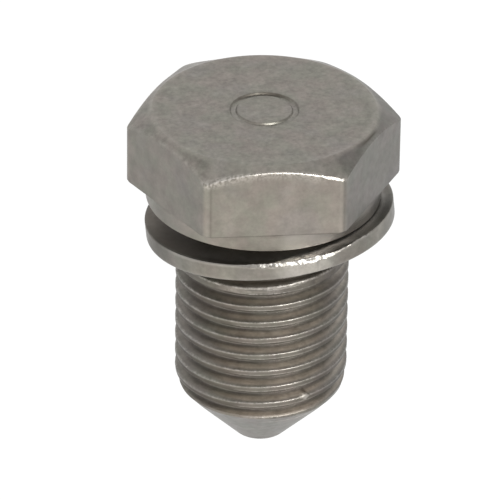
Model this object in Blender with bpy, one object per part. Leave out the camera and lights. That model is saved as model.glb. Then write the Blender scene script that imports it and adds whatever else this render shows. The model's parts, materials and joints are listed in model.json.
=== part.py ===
"""Oil drain plug: a one-piece steel plug with a loose sealing washer trapped on its neck.

Lengths are in metres. Each piece is first made in the plug's own frame: the axis is Z, the head is
at +Z, Z = 0 is the collar's lower face, and one flat of the hexagon faces -Y. The plug is then laid
on the floor plane Z = 0, on the washer's rim, the last full thread and one corner of the hexagon,
with its head towards -Y.
"""

import math

import bmesh
import bpy
import numpy as np
from mathutils import Matrix, Vector

MM = 0.001

# Hexagon head
ACROSS_FLATS = 18.9 * MM
HEX_CORNER_RADIUS = 0.65 * MM
HEAD_HEIGHT = 7.37 * MM
TOP_FACE_DIAMETER = 17.7 * MM
TOP_CHAMFER_DEG = 31.5
LOWER_CHAMFER = 0.15 * MM
LOWER_CHAMFER_DEG = 35.0

# Plain ring pressed into the top face: its middle line, its width at the face and at the bottom
RING_DIAMETER = 4.9 * MM
RING_WIDTH = 0.55 * MM
RING_BOTTOM_WIDTH = 0.35 * MM
RING_DEPTH = 0.14 * MM

# Round collar below the hexagon
COLLAR_DIAMETER = 18.65 * MM
COLLAR_HEIGHT = 1.37 * MM
COLLAR_EDGE_RADIUS = 0.1 * MM

# Neck that carries the washer, and the short cone where it runs out into the thread
NECK_DIAMETER = 11.2 * MM
NECK_LENGTH = 3.75 * MM
NECK_FILLET = 0.4 * MM
RUN_IN_DEG = 60.0

# Thread: 60 degree metric profile, cut into the blank as one right-hand groove. CREST_AT_FRONT is how
# far below the collar the middle of a crest crosses the -Y side, which sets how the thread is clocked.
THREAD_DIAMETER = 13.86 * MM
THREAD_PITCH = 1.5 * MM
THREAD_ANGLE_DEG = 60.0
CREST_FLAT = 0.36 * MM
ROOT_FLAT = 0.22 * MM
CREST_AT_FRONT = 5.28 * MM

# Conical pilot tip. Its flat end is measured to where the cone would meet it if the edge were sharp,
# and the cone begins where it reaches the thread's full diameter.
SHANK_LENGTH = 22.12 * MM
TIP_DIAMETER = 3.97 * MM
TIP_HALF_ANGLE_DEG = 43.8
TIP_EDGE_RADIUS = 0.55 * MM

# Slight taper of the last thread before the cone: how long it is, and how far it draws in
LEAD_IN_LENGTH = 0.9 * MM
LEAD_IN_DEPTH = 0.17 * MM

# Sealing washer. Its bore is wider than the neck and narrower than the thread, so it stays on.
WASHER_DIAMETER = 19.8 * MM
WASHER_BORE = 13.5 * MM
WASHER_THICKNESS = 1.4 * MM
WASHER_EDGE_RADIUS = 0.12 * MM

# How the washer hangs on the neck: how far its upper face's centre is below the collar and beside the
# axis, and how far it tilts. Directions are seen from the head, anticlockwise from +X.
WASHER_DROP = 1.33 * MM
WASHER_SHIFT = 0.65 * MM
WASHER_SHIFT_TOWARDS_DEG = -49.3
WASHER_TILT_DEG = 7.1
WASHER_HIGH_SIDE_DEG = -34.3

# Facets, and how far a piece or a cutter runs into or past what it joins or cuts
TURNED_STEPS = 60
ARC_STEPS = 4
EDGE_STEPS = 2
SMOOTH_BELOW_DEG = 28.0
OVERLAP = 1.0 * MM

# Finish
STEEL_COLOUR = (0.235, 0.215, 0.19, 1.0)
STEEL_ROUGHNESS = 0.42
WASHER_COLOUR = (0.24, 0.22, 0.195, 1.0)
WASHER_ROUGHNESS = 0.38

# Search for the floor plane: its first direction in the plug's own frame, and its rounds
FIRST_DOWN = (-0.1, 1.0, 0.0)
FLOOR_ROUNDS = 30

# Sizes that follow from the ones above
ACROSS_CORNERS = ACROSS_FLATS / math.cos(math.radians(30))
HEX_CORNER_REACH = ACROSS_CORNERS / 2 - HEX_CORNER_RADIUS * (1 / math.cos(math.radians(30)) - 1)
TIP_CONE_LENGTH = (THREAD_DIAMETER - TIP_DIAMETER) / 2 / math.tan(math.radians(TIP_HALF_ANGLE_DEG))
THREADED_LENGTH = SHANK_LENGTH - TIP_CONE_LENGTH


def clear_scene():
    for obj in list(bpy.data.objects):
        bpy.data.objects.remove(obj, do_unlink=True)


def steel(name, colour, roughness):
    """Dull plated steel."""
    material = bpy.data.materials.new(name)
    material.use_nodes = True
    shader = material.node_tree.nodes["Principled BSDF"]
    shader.inputs["Base Color"].default_value = colour
    shader.inputs["Metallic"].default_value = 1.0
    shader.inputs["Roughness"].default_value = roughness
    material.diffuse_color = colour
    return material


def new_object(name, mesh):
    obj = bpy.data.objects.new(name, mesh)
    bpy.context.collection.objects.link(obj)
    return obj


def arc(centre, radius, start_deg, end_deg, steps=ARC_STEPS):
    """Points on an arc, both ends included, anticlockwise where end_deg is larger."""
    angles = np.radians(np.linspace(start_deg, end_deg, steps + 1))
    return [(centre[0] + radius * math.cos(a), centre[1] + radius * math.sin(a)) for a in angles]


def turned(name, profile, closed=False, start=0.0):
    """Solid of revolution about Z from (radius, height) points that run down the outer side.

    start turns its facets round, as a share of one facet.
    """
    mesh = bpy.data.meshes.new(name)
    angle = math.tau * start / TURNED_STEPS
    points = [(r * math.cos(angle), r * math.sin(angle), z) for r, z in profile]
    edges = [(i, i + 1) for i in range(len(points) - 1)]
    if closed:
        edges.append((len(points) - 1, 0))
    mesh.from_pydata(points, edges, [])
    obj = new_object(name, mesh)
    screw = obj.modifiers.new("turn", "SCREW")
    screw.angle = math.tau
    screw.steps = TURNED_STEPS
    screw.render_steps = TURNED_STEPS
    screw.use_merge_vertices = True
    screw.merge_threshold = 1e-7
    return obj


def boolean(obj, operation, other):
    modifier = obj.modifiers.new(other.name, "BOOLEAN")
    modifier.operation = operation
    modifier.solver = "EXACT"
    modifier.object = other
    other.hide_render = True
    other.display_type = "WIRE"


def worked_out(obj):
    """Puts the result of an object's modifiers into its own mesh and drops the modifiers."""
    bpy.context.view_layer.update()
    result = bpy.data.meshes.new_from_object(obj.evaluated_get(bpy.context.evaluated_depsgraph_get()))
    obj.modifiers.clear()
    obj.data = result
    return obj


def remove(*helpers):
    for obj in helpers:
        bpy.data.objects.remove(obj, do_unlink=True)


def smooth(obj):
    obj.data.shade_smooth()
    obj.data.set_sharp_from_angle(angle=math.radians(SMOOTH_BELOW_DEG))


def mesh_of(shape, name):
    """Object made from a bmesh, which is freed."""
    bmesh.ops.recalc_face_normals(shape, faces=shape.faces[:])
    mesh = bpy.data.meshes.new(name)
    shape.to_mesh(mesh)
    shape.free()
    return new_object(name, mesh)


def hexagon_prism():
    """Hexagon with rounded corners, a flat facing -Y, from the collar to above the head."""
    arc_centre = HEX_CORNER_REACH - HEX_CORNER_RADIUS
    outline = []
    for side in range(6):
        towards = 60.0 * side
        angle = math.radians(towards)
        centre = (arc_centre * math.cos(angle), arc_centre * math.sin(angle))
        outline += arc(centre, HEX_CORNER_RADIUS, towards - 30, towards + 30)
    shape = bmesh.new()
    base = shape.faces.new([shape.verts.new((x, y, COLLAR_HEIGHT)) for x, y in outline])
    raised = bmesh.ops.extrude_face_region(shape, geom=[base])
    top = [part for part in raised["geom"] if isinstance(part, bmesh.types.BMVert)]
    bmesh.ops.translate(shape, verts=top, vec=(0, 0, HEAD_HEIGHT + OVERLAP - COLLAR_HEIGHT))
    return mesh_of(shape, "hexagon_prism")


def head_envelope():
    """Turned form that gives the hexagon its top face, ring mark and both chamfers."""
    outer = ACROSS_CORNERS / 2 + OVERLAP
    top_radius = TOP_FACE_DIAMETER / 2
    top_slope = math.tan(math.radians(TOP_CHAMFER_DEG))
    low_slope = math.tan(math.radians(LOWER_CHAMFER_DEG))
    low_start = HEX_CORNER_REACH - LOWER_CHAMFER / low_slope
    base = COLLAR_HEIGHT - OVERLAP
    profile = [
        (0.0, HEAD_HEIGHT),
        ((RING_DIAMETER - RING_WIDTH) / 2, HEAD_HEIGHT),
        ((RING_DIAMETER - RING_BOTTOM_WIDTH) / 2, HEAD_HEIGHT - RING_DEPTH),
        ((RING_DIAMETER + RING_BOTTOM_WIDTH) / 2, HEAD_HEIGHT - RING_DEPTH),
        ((RING_DIAMETER + RING_WIDTH) / 2, HEAD_HEIGHT),
        (top_radius, HEAD_HEIGHT),
        (outer, HEAD_HEIGHT - (outer - top_radius) * top_slope),
        (outer, COLLAR_HEIGHT + (outer - low_start) * low_slope),
        (low_start - OVERLAP / low_slope, base),
        (0.0, base),
    ]
    return turned("head_envelope", profile, start=0.5)


def shank_profile():
    """Outer side of collar, neck, thread blank and tip, from inside the head down to the tip."""
    collar = COLLAR_DIAMETER / 2
    neck = NECK_DIAMETER / 2
    thread = THREAD_DIAMETER / 2
    run_in = (thread - neck) / math.tan(math.radians(RUN_IN_DEG))
    cone_slope = math.tan(math.radians(TIP_HALF_ANGLE_DEG))
    edge_turn = math.radians(90 - TIP_HALF_ANGLE_DEG)
    edge_centre = (
        TIP_DIAMETER / 2 - TIP_EDGE_RADIUS * math.tan(edge_turn / 2),
        TIP_EDGE_RADIUS - SHANK_LENGTH,
    )
    profile = [(0.0, COLLAR_HEIGHT + OVERLAP), (collar, COLLAR_HEIGHT + OVERLAP)]
    profile += arc((collar - COLLAR_EDGE_RADIUS, COLLAR_EDGE_RADIUS), COLLAR_EDGE_RADIUS, 0, -90)
    profile += arc((neck + NECK_FILLET, -NECK_FILLET), NECK_FILLET, 90, 180)
    profile += [(neck, -NECK_LENGTH), (thread, -NECK_LENGTH - run_in)]
    profile += [
        (thread, -THREADED_LENGTH + LEAD_IN_LENGTH),
        (thread - LEAD_IN_DEPTH, -THREADED_LENGTH - LEAD_IN_DEPTH / cone_slope),
    ]
    profile += arc(edge_centre, TIP_EDGE_RADIUS, -TIP_HALF_ANGLE_DEG, -90)
    profile += [(0.0, -SHANK_LENGTH)]
    return profile


def thread_groove():
    """Cutter: the groove between the crests, swept along a right-hand helix past both ends."""
    major = THREAD_DIAMETER / 2
    flank = math.tan(math.radians(THREAD_ANGLE_DEG / 2))
    mouth = THREAD_PITCH - CREST_FLAT
    root = major - (mouth - ROOT_FLAT) / 2 / flank
    widest = THREAD_PITCH - CREST_FLAT / 2
    beyond = major + (widest - mouth) / 2 / flank
    section = [
        (root, ROOT_FLAT / 2),
        (beyond, widest / 2),
        (major + OVERLAP / 2, widest / 2),
        (major + OVERLAP / 2, -widest / 2),
        (beyond, -widest / 2),
        (root, -ROOT_FLAT / 2),
    ]
    front_groove = -CREST_AT_FRONT + THREAD_PITCH / 2
    fade_out = -THREADED_LENGTH - (major - root) / math.tan(math.radians(TIP_HALF_ANGLE_DEG))
    first = math.floor((fade_out - THREAD_PITCH - front_groove) / THREAD_PITCH * TURNED_STEPS)
    last = math.ceil((-NECK_LENGTH + THREAD_PITCH / 2 - front_groove) / THREAD_PITCH * TURNED_STEPS)
    shape = bmesh.new()
    rings = []
    for step in range(first, last + 1):
        turns = (step + 0.5) / TURNED_STEPS
        angle = math.tau * turns - math.pi / 2
        rise = front_groove + THREAD_PITCH * turns
        ring = [(r * math.cos(angle), r * math.sin(angle), rise + z) for r, z in section]
        rings.append([shape.verts.new(point) for point in ring])
    for lower, upper in zip(rings, rings[1:]):
        for i in range(len(section)):
            j = (i + 1) % len(section)
            shape.faces.new((lower[i], lower[j], upper[j], upper[i]))
    shape.faces.new(rings[0])
    shape.faces.new(rings[-1][::-1])
    return mesh_of(shape, "thread_groove")


def make_plug_body():
    head = head_envelope()
    prism = hexagon_prism()
    boolean(head, "INTERSECT", prism)
    worked_out(head)
    plug = turned("plug_body", shank_profile())
    groove = thread_groove()
    boolean(plug, "DIFFERENCE", groove)
    boolean(plug, "UNION", head)
    worked_out(plug)
    remove(head, prism, groove)
    smooth(plug)
    plug.data.materials.clear()
    plug.data.materials.append(steel("plated_steel", STEEL_COLOUR, STEEL_ROUGHNESS))
    return plug


def make_washer():
    """Flat ring, its centre at the object's origin and its axis along Z."""
    inner = WASHER_BORE / 2
    outer = WASHER_DIAMETER / 2
    half = WASHER_THICKNESS / 2
    edge = WASHER_EDGE_RADIUS
    profile = arc((outer - edge, half - edge), edge, 90, 0, EDGE_STEPS)
    profile += arc((outer - edge, edge - half), edge, 0, -90, EDGE_STEPS)
    profile += arc((inner + edge, edge - half), edge, -90, -180, EDGE_STEPS)
    profile += arc((inner + edge, half - edge), edge, 180, 90, EDGE_STEPS)
    washer = turned("captive_washer", profile, closed=True)
    worked_out(washer)
    smooth(washer)
    washer.data.materials.append(steel("washer_steel", WASHER_COLOUR, WASHER_ROUGHNESS))
    return washer


def washer_place():
    """Where the washer hangs on the neck: shifted, and tilted up towards the head at one side."""
    shift = math.radians(WASHER_SHIFT_TOWARDS_DEG)
    high = math.radians(WASHER_HIGH_SIDE_DEG)
    tilt_axis = Vector((math.sin(high), -math.cos(high), 0.0))
    tilt = Matrix.Rotation(math.radians(WASHER_TILT_DEG), 4, tilt_axis)
    top_centre = Vector((WASHER_SHIFT * math.cos(shift), WASHER_SHIFT * math.sin(shift), -WASHER_DROP))
    centre = top_centre - tilt @ Vector((0.0, 0.0, WASHER_THICKNESS / 2))
    return Matrix.Translation(centre) @ tilt


def points_of(obj, place):
    points = np.array([vertex.co for vertex in obj.data.vertices])
    matrix = np.array(place)
    return points @ matrix[:3, :3].T + matrix[:3, 3]


def floor_direction(plug_points, washer_points):
    """Unit vector down to the floor that the rim, the last thread and a corner of the head touch.

    Each round takes the lowest point of each of the three, and lays the floor through them.
    """
    thread_end = plug_points[plug_points[:, 2] < -THREADED_LENGTH / 2]
    head = plug_points[plug_points[:, 2] > 0]
    down = np.array(FIRST_DOWN)
    for _ in range(FLOOR_ROUNDS):
        rest = [group[np.argmax(group @ down)] for group in (washer_points, thread_end, head)]
        normal = np.cross(rest[1] - rest[0], rest[2] - rest[0])
        normal /= np.linalg.norm(normal)
        down = normal if normal @ down > 0 else -normal
    return Vector(down)


def lying_place(plug, washer):
    """Matrix from the plug's own frame to the floor: head towards -Y, footprint centred on Z."""
    plug_points = points_of(plug, Matrix())
    washer_points = points_of(washer, washer_place())
    up = -floor_direction(plug_points, washer_points)
    axis = Vector((0.0, 0.0, 1.0))
    along = -(axis - axis.dot(up) * up).normalized()
    turn = Matrix((along.cross(up), along, up)).to_4x4()
    laid = np.vstack((plug_points, washer_points)) @ np.array(turn)[:3, :3].T
    low = laid.min(axis=0)
    high = laid.max(axis=0)
    shift = Vector((-(low[0] + high[0]) / 2, -(low[1] + high[1]) / 2, -low[2]))
    return Matrix.Translation(shift) @ turn


def main():
    clear_scene()
    plug = make_plug_body()
    washer = make_washer()

    lying = bpy.data.objects.new("plug_axis", None)
    lying.empty_display_size = 0.005
    lying.matrix_world = lying_place(plug, washer)
    bpy.context.collection.objects.link(lying)

    plug.parent = lying
    washer.parent = lying
    washer.matrix_local = washer_place()


main()
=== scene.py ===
"""Looks of the oil drain plug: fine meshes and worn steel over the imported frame, floor, light and camera.

Lengths are in metres. Both meshes are made in their own upright frames, with the axis along Z and the
head at +Z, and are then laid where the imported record's mounts and joint say.
"""

import json
import math

import bmesh
import bpy
import numpy as np
from mathutils import Matrix, Vector, noise

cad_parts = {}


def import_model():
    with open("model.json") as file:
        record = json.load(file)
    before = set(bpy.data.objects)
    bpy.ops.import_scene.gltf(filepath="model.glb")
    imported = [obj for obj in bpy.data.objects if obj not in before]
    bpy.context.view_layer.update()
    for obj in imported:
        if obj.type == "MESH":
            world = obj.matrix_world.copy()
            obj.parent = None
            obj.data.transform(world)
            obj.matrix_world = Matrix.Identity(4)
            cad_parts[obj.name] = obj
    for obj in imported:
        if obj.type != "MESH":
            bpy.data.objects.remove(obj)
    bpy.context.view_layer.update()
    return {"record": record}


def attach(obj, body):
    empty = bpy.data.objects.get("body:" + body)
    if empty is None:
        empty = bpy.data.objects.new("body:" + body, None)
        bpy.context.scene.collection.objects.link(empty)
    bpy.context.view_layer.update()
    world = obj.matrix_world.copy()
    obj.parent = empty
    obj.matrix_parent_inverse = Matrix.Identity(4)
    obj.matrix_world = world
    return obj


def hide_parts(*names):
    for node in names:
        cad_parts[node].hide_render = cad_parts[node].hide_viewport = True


MM = 0.001

# Plug, as in the solids
ACROSS_FLATS = 18.9 * MM
HEX_CORNER_RADIUS = 0.65 * MM
HEAD_HEIGHT = 7.37 * MM
TOP_FACE_DIAMETER = 17.7 * MM
TOP_CHAMFER_DEG = 31.5
LOWER_CHAMFER = 0.15 * MM
LOWER_CHAMFER_DEG = 35.0
RING_DIAMETER = 4.9 * MM
RING_WIDTH = 0.55 * MM
RING_BOTTOM_WIDTH = 0.35 * MM
RING_DEPTH = 0.14 * MM
COLLAR_DIAMETER = 18.65 * MM
COLLAR_HEIGHT = 1.37 * MM
NECK_DIAMETER = 11.2 * MM
NECK_LENGTH = 3.75 * MM
NECK_FILLET = 0.4 * MM
RUN_IN_DEG = 60.0
THREAD_DIAMETER = 13.86 * MM
THREAD_PITCH = 1.5 * MM
THREAD_ANGLE_DEG = 60.0
CREST_FLAT = 0.36 * MM
ROOT_FLAT = 0.22 * MM
CREST_AT_FRONT = 5.28 * MM
SHANK_LENGTH = 22.12 * MM
TIP_DIAMETER = 3.97 * MM
TIP_HALF_ANGLE_DEG = 43.8
TIP_EDGE_RADIUS = 0.55 * MM
LEAD_IN_LENGTH = 0.9 * MM
LEAD_IN_DEPTH = 0.17 * MM

# Washer, as in the solids
WASHER_DIAMETER = 19.8 * MM
WASHER_BORE = 13.5 * MM
WASHER_THICKNESS = 1.4 * MM

# Directions round the axis, in degrees: the front faces the camera
FRONT_DEG = -90.0
RIGHT_DEG = 0.0
LEFT_DEG = 180.0
BACK_DEG = 90.0
FRONT_LEFT_CORNER_DEG = -120.0

# Finer edges than the solids have: the head's worn bevel is measured down the flat, and its slope is
# from the horizontal
TOP_EDGE_RADIUS = 0.2 * MM
HEAD_BEVEL = 0.05 * MM
HEAD_BEVEL_EXTRA = 0.09 * MM
HEAD_BEVEL_DEG = 58.0
RING_EDGE_RADIUS = 0.05 * MM
RING_FOOT_RADIUS = 0.04 * MM
SIDE_EDGE_RADIUS = 0.05 * MM
SIDE_FOOT_RADIUS = 0.03 * MM
LEAST_FOOT_HEIGHT = 0.06 * MM
COLLAR_TOP_RADIUS = 0.02 * MM
COLLAR_EDGE_RADIUS = 0.03 * MM
LIP_HEIGHT = 0.03 * MM
CREST_EXTRA = 0.035 * MM
FIRST_CREST_EXTRA = 0.16 * MM
FIRST_CREST_RIGHT_EXTRA = 0.11 * MM
WASHER_EDGE_RADIUS = 0.12 * MM

# Where the photograph differs a little from the solids: the collar's edge is lower, the washer nearer
# to the head, and the head's back corners higher, by direction and height
COLLAR_EXTRA = 0.05 * MM
WASHER_RAISED = 0.11 * MM
HIGH_CORNERS = ((120.0, 0.24 * MM), (60.0, 0.13 * MM))

# Stretches of wear, of painted sheen and of painted shade below are given by two directions and the width
# over which they fade out, all in degrees. First those of head and collar, and the scrape's distance from
# the axis.
DEEPER_BEVEL = (-67.0, -60.0, 3.0)
THICKER_LINE = (-74.0, -58.0, 5.0)
COLLAR_SHEEN = (-86.0, -50.0, 7.0)
COLLAR_LEFT_SHEEN = (-148.0, -120.0, 8.0)
COLLAR_RIGHT_SHEEN = (-56.0, -30.0, 6.0)
COLLAR_EDGE_SHEEN = (-68.0, -46.0, 6.0)
COLLAR_DARKER = (-112.0, -99.0, 5.0)
SCRAPE = (-42.0, -24.0, 3.0)
SCRAPE_REACH = 9.12 * MM

# Wear, painted highlights and painted shade of the thread: the heights between which its first turn begins,
# that turn's stretches, the darker stretch of painted shade in the roots, and the ends worn down at the
# sides, with the depth last
FIRST_TURN = (-6.1 * MM, -5.3 * MM)
FIRST_EDGE_WORN = (-106.0, -66.0, 6.0)
FIRST_LIPS_BROKEN = (-106.0, -70.0, 6.0)
FIRST_LIPS_HIGHLIGHT = (-114.0, -72.0, 8.0)
ROOTS_DARKER = (-92.0, -52.0, 12.0)
WORN_ENDS = ((-45.0, 10.0, 12.0, 0.14 * MM), (160.0, 225.0, 12.0, 0.07 * MM))
WORN_END_HEIGHT = -17.2 * MM
WORN_END_LENGTH = 0.65 * MM

# Burr on a crest near the tip: direction, height, and how far its point reaches along and up
BURR_DEG = -64.2
BURR_HEIGHT = -15.5 * MM
BURR_REACH = 0.56 * MM
BURR_RISE = 0.42 * MM

# Thin dark line round the cone, by its height over the tip's end
TIP_LINE_HEIGHT = 0.42 * MM

# Wear, painted sheen and painted shade of the washer's rim: the battered bevel and its size there and
# elsewhere, the stretch where the top is rounded down into it, and stretches of painted sheen, of dots and
# of darker painted shade, those of the cooler painted shade tint with their strength last
BATTERED = (-104.0, -64.0, 8.0)
BATTERED_BEVEL = 0.27 * MM
PLAIN_BEVEL = 0.07 * MM
WIDER_BEVEL = (-82.0, -68.0, 5.0)
WIDER_BEVEL_EXTRA = 0.14 * MM
WIDER_BEVEL_RISE = 0.08 * MM
ROUNDED_DOWN = (-85.0, -57.0, 9.0)
ROUNDED_DROP = 0.2 * MM
ROUNDED_REACH = 0.95 * MM
RIM_SHEEN = (-89.0, -64.0, 6.0)
TOP_SHEEN = (-90.0, -50.0, 5.0)
TOP_SHEEN_WIDTH = 1.0 * MM
TOP_BATTERED = (-84.0, -67.0, 4.0)
EDGE_DOTS = (-60.0, -43.0, 4.0)
LOW_EDGE_HIGHLIGHT = (-82.0, -62.0, 6.0)
LEFT_RIM_DARKER = (-192.0, -158.0, 8.0)
RIM_SHADE_TINT = ((-30.0, 12.0, 6.0, 0.5), (-22.0, 12.0, 6.0, 0.8), (-138.0, -96.0, 7.0, 0.25))

# Mesh density, the ring closest to the axis, and where the head's rows end below the collar and the
# tip's begin below the thread
INNER_RING = 0.3 * MM
HEAD_ROWS_END = 1.2 * MM
TIP_ROWS_START = 3.2 * MM
CORNER_STEPS = 6
FLAT_STEPS = 24
NEAR_CORNER_DEG = (0.4, 0.8, 1.3)
WASHER_STEPS = 600
ARC_STEPS = 6
HEAD_STRETCHES = (5, 1, 1, 1, 14, 4, 1, 8, 2, 1, 4, 6, 3)
WASHER_STRETCHES = (6, 3, 3, 6, 8, 4, 6)
TIP_STRETCHES = (6, 3)

# Camera, in the upright frame of the photograph: distance, height angle, point looked at, roll, focal
# length in pixels of a 500 pixel frame, and the turn of the hexagon to the right
VIEW_DISTANCE = 450 * MM
VIEW_ELEVATION_DEG = 30.807
VIEW_TARGET = (-0.982 * MM, 0.0, -5.499 * MM)
VIEW_ROLL_DEG = 0.784
FOCAL_PIXELS = 5648.9
PICTURE_PIXELS = 500
SENSOR_WIDTH = 36.0
HEAD_TURN_DEG = 5.47

# Surroundings: their strength, and two dimmer sides, each by direction, the cosine where it begins, the
# cosine where it is full, and the share of light left there
WORLD_STRENGTH = 0.85
WORLD_COLOUR = (1.0, 0.99, 0.98, 1.0)
DIM_SIDES = ((-95.0, -35.0, 0.4, 0.96, 0.45), (131.0, 33.0, 0.6, 0.96, 0.42))

# Lamps: name, direction, width and height in metres, power and colour, all aimed at a point on the axis
LAMPS = (
    ("key", 30.0, 38.0, (0.22, 0.12), 1.25, (1.0, 1.0, 1.0)),
    ("low_right", 22.0, -30.0, (0.5, 0.4), 0.42, (1.0, 0.96, 0.9)),
    ("low_left", -46.0, -30.0, (0.5, 0.4), 0.6, (1.0, 0.96, 0.9)),
)
LAMP_DISTANCE = 450 * MM
LAMP_TARGET_HEIGHT = -7 * MM

# Materials: colours of both finishes, the bright one for worn edges, painted highlights and painted sheen,
# the dark one for painted shade and dark marks, the flank colour for painted light on the thread's flanks,
# and the last one a darker, cooler painted shade tint; the strength of their broken bright edges, their
# roughness, and how far their noise is shifted, then the colour of small patches on both pieces
PLUG_FINISH = {
    "warm": (0.236, 0.213, 0.19, 1.0),
    "olive": (0.22, 0.213, 0.183, 1.0),
    "bright": (0.47, 0.445, 0.41, 1.0),
    "dark": (0.075, 0.064, 0.052, 1.0),
    "flank": (0.47, 0.412, 0.345, 1.0),
    "dull": (0.74, 0.755, 0.78, 1.0),
    "shine": 1.0,
    "roughness": 0.4,
    "seed": 0.0,
}
WASHER_FINISH = {
    "warm": (0.245, 0.227, 0.203, 1.0),
    "olive": (0.226, 0.222, 0.193, 1.0),
    "bright": (0.5, 0.48, 0.45, 1.0),
    "dark": (0.14, 0.12, 0.1, 1.0),
    "flank": (0.3, 0.27, 0.23, 1.0),
    "dull": (0.46, 0.46, 0.45, 1.0),
    "shine": 0.5,
    "roughness": 0.36,
    "seed": 40.0,
}
VIOLET = (0.222, 0.205, 0.196, 1.0)

# Floor
FLOOR_HALF = 2.0
FLOOR_COLOUR = (0.04, 0.04, 0.04, 1.0)
FLOOR_GLOW = 0.99

# Sizes that follow from the ones above
ACROSS_CORNERS = ACROSS_FLATS / math.cos(math.radians(30))
HEX_CORNER_REACH = ACROSS_CORNERS / 2 - HEX_CORNER_RADIUS * (1 / math.cos(math.radians(30)) - 1)
TIP_SLOPE = math.tan(math.radians(TIP_HALF_ANGLE_DEG))
THREADED_LENGTH = SHANK_LENGTH - (THREAD_DIAMETER - TIP_DIAMETER) / 2 / TIP_SLOPE
LEAD_IN_SLOPE = LEAD_IN_DEPTH / (LEAD_IN_LENGTH + LEAD_IN_DEPTH / TIP_SLOPE)
FLANK_SLOPE = math.tan(math.radians(THREAD_ANGLE_DEG / 2))
THREAD_DEPTH = (THREAD_PITCH - CREST_FLAT - ROOT_FLAT) / 2 / FLANK_SLOPE
HALF_CREST = CREST_FLAT / 2
WASHER_REACH = WASHER_DIAMETER / 2
WASHER_HALF = WASHER_THICKNESS / 2


# Where the plug and the washer lie

def mount(record, name):
    found = next(m for m in record["mounts"] if m["name"] == name)
    return Vector(found["pos_m"]), Vector(found["axis"]).normalized()


def laid(up, back, origin):
    """Matrix of a frame with that Z direction, and Y close to that back direction."""
    back = (back - back.dot(up) * up).normalized()
    turn = Matrix((back.cross(up), back, up)).transposed().to_4x4()
    return Matrix.Translation(origin) @ turn


def plug_place(record):
    """Matrix from the plug's own frame to the row frame."""
    top, up = mount(record, "head_top")
    front = mount(record, "hexagon_flat_front")[1]
    return laid(up, -front, top - up * HEAD_HEIGHT)


def washer_place(record, plug):
    """Matrix from the washer's own frame, with the side that faces the camera at -Y."""
    joint = record["behaviour"]["joints"][0]
    up = Vector(joint["axis"]).normalized()
    return laid(up, plug.to_3x3() @ Vector((0.0, 1.0, 0.0)), Vector(joint["pos_m"]) + WASHER_RAISED * up)


# Small helpers

def smooth_step(value, low, high):
    share = min(1.0, max(0.0, (value - low) / (high - low)))
    return share * share * (3 - 2 * share)


def soft_min(a, b, width):
    blend = max(width - abs(a - b), 0.0) / width
    return min(a, b) - blend * blend * width / 4


def bump(value, width):
    """1 at zero, falling to 0 a few widths away."""
    return math.exp(-((value / width) ** 2))


def degrees_off(angle, towards_deg):
    """How far a direction is from another, in degrees."""
    return abs((math.degrees(angle) - towards_deg + 180) % 360 - 180)


def on_front(angle):
    """1 on the flat that faces -Y, falling to 0 just past its corners."""
    return 1 - smooth_step(degrees_off(angle, FRONT_DEG), 29, 34)


def on_right(angle):
    """1 on the two flats towards +X."""
    return 1 - smooth_step(degrees_off(angle, RIGHT_DEG), 54, 62)


def on_left(angle):
    """1 on the two flats towards -X."""
    return 1 - smooth_step(degrees_off(angle, LEFT_DEG), 54, 62)


def angle_is_past(angle, towards_deg):
    """Whether a direction lies within half a turn anticlockwise of another."""
    return (math.degrees(angle) - towards_deg) % 360 < 180


def in_stretch(angle, from_deg, to_deg, fade):
    """1 between two directions, falling to 0 over the fade at both ends."""
    middle = (from_deg + to_deg) / 2
    half = (to_deg - from_deg) / 2
    return 1 - smooth_step(degrees_off(angle, middle), half - fade, half + fade)


def uneven(point, size, scale, seed):
    """Smooth noise in metres for a point in metres: how much, over how many millimetres, and which."""
    return size * noise.noise(Vector(point) / (scale * MM) + Vector((seed, 0.0, 0.0)))


# Outlines and sections

def hexagon_radius(angle):
    """Distance from the axis to the rounded hexagon in that direction."""
    off = math.radians(abs((math.degrees(angle) + 30) % 60 - 30))
    centre = HEX_CORNER_REACH - HEX_CORNER_RADIUS
    if off <= corner_half_angle():
        across = centre * math.sin(off)
        return centre * math.cos(off) + math.sqrt(HEX_CORNER_RADIUS ** 2 - across ** 2)
    return ACROSS_FLATS / 2 / math.cos(math.radians(30) - off)


def corner_half_angle():
    centre = HEX_CORNER_REACH - HEX_CORNER_RADIUS
    half = math.radians(30)
    return math.atan2(HEX_CORNER_RADIUS * math.sin(half), centre + HEX_CORNER_RADIUS * math.cos(half))


def column_angles():
    """Directions round the axis, close together on the hexagon's corners, starting at the back."""
    half = corner_half_angle()
    angles = []
    for side in range(6):
        corner = math.radians(60 * side)
        angles += list(corner + np.linspace(-half, half, CORNER_STEPS + 1))
        end = corner + math.radians(60) - half
        flat = np.linspace(corner + half, end, FLAT_STEPS + 1)
        near = [math.radians(share) for share in NEAR_CORNER_DEG]
        angles += [corner + half + share for share in near]
        angles += list(flat[1:-1])
        angles += [end - share for share in reversed(near)]
    angles = np.array(angles)
    start = int(np.argmin(np.abs(angles - math.pi / 2)))
    return np.concatenate((angles[start:], angles[:start] + math.tau))


def rounded(corners):
    """(radius, height) rows along a section whose corners are given as (radius, height, rounding)."""
    rows = [corners[0][:2]]
    for before, here, after in zip(corners, corners[1:], corners[2:]):
        point = np.array(here[:2])
        back = np.array(before[:2]) - point
        ahead = np.array(after[:2]) - point
        back_length = np.linalg.norm(back)
        ahead_length = np.linalg.norm(ahead)
        back /= back_length
        ahead /= ahead_length
        half = math.acos(float(np.clip(back @ ahead, -1, 1))) / 2
        reach = min(here[2] / math.tan(half), 0.42 * back_length, 0.42 * ahead_length)
        centre = point + (back + ahead) / np.linalg.norm(back + ahead) * reach / math.cos(half)
        start = point + back * reach - centre
        end = point + ahead * reach - centre
        for share in np.linspace(0, 1, ARC_STEPS + 1):
            radial = start * (1 - share) + end * share
            radial *= np.linalg.norm(start) / np.linalg.norm(radial)
            rows.append(tuple(centre + radial))
    rows.append(corners[-1][:2])
    return rows


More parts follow.
